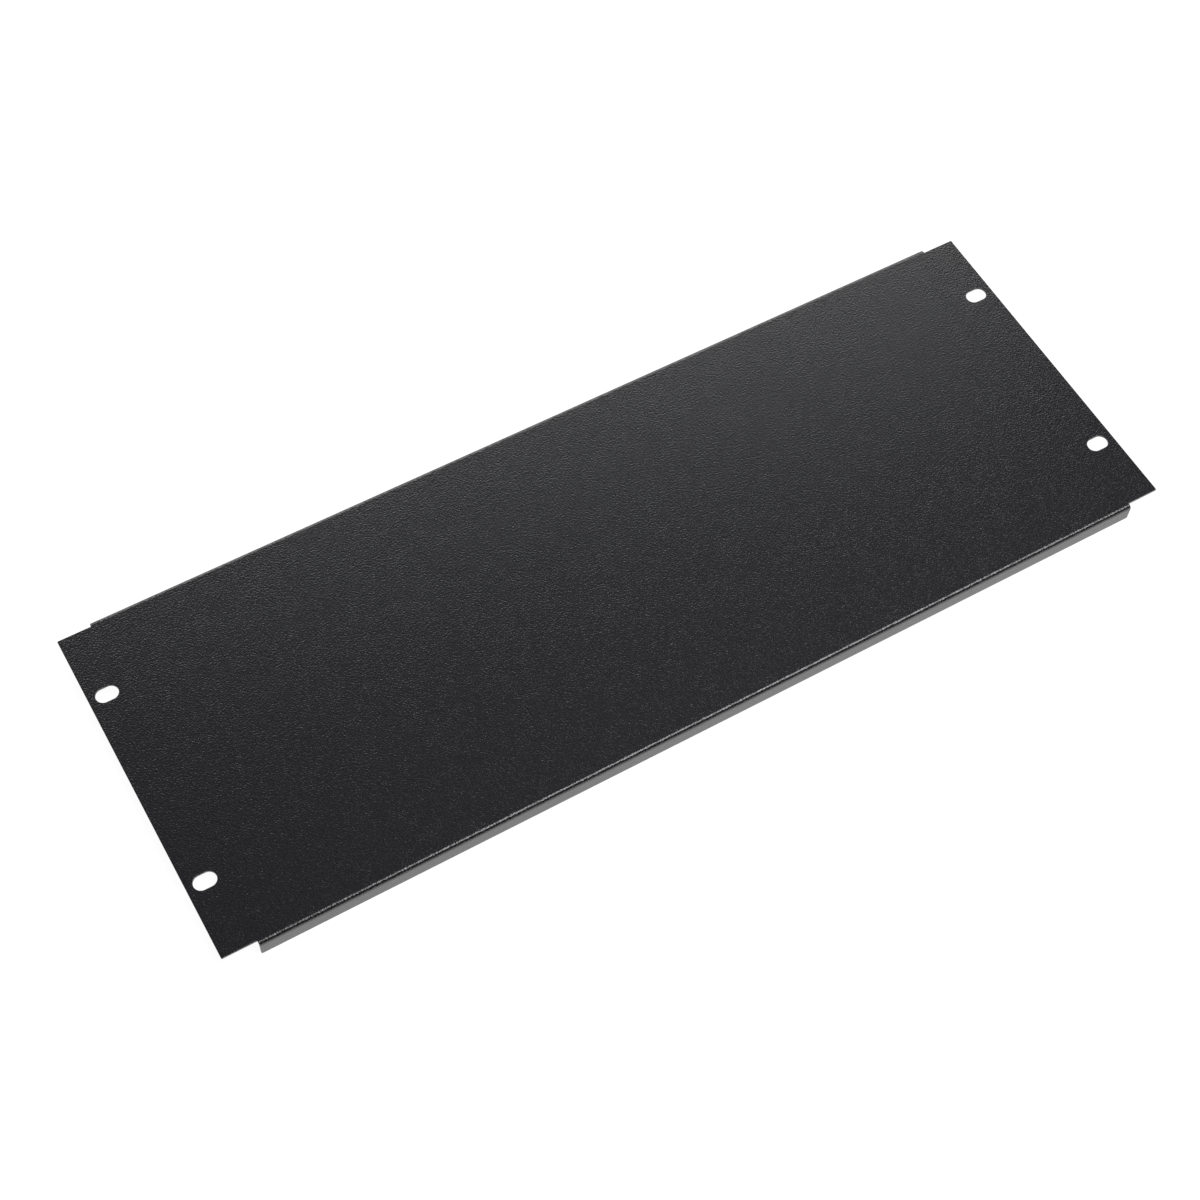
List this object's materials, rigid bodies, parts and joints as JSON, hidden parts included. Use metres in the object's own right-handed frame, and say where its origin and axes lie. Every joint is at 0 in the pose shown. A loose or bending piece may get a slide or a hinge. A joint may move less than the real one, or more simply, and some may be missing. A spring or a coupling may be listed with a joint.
{
  "type": "rack blanking panel",
  "caption": "Flat folded-steel panel that closes an empty space in an equipment rack, with shallow returns along its long edges and slotted ears for rack screws.",
  "frame": {"origin": "centre of the panel's footprint, level with the free edges of the two returns that it lies on", "axes": "+X along the width, +Y up the rack, +Z out of the front face"},
  "size_m": [0.4826, 0.176, 0.0095],
  "materials": {
    "powder_coat": "black powder coat with a fine leather grain, satin"
  },
  "bodies": {
    "root": {"blanking_panel": "powder_coat"}
  },
  "joints": []
}
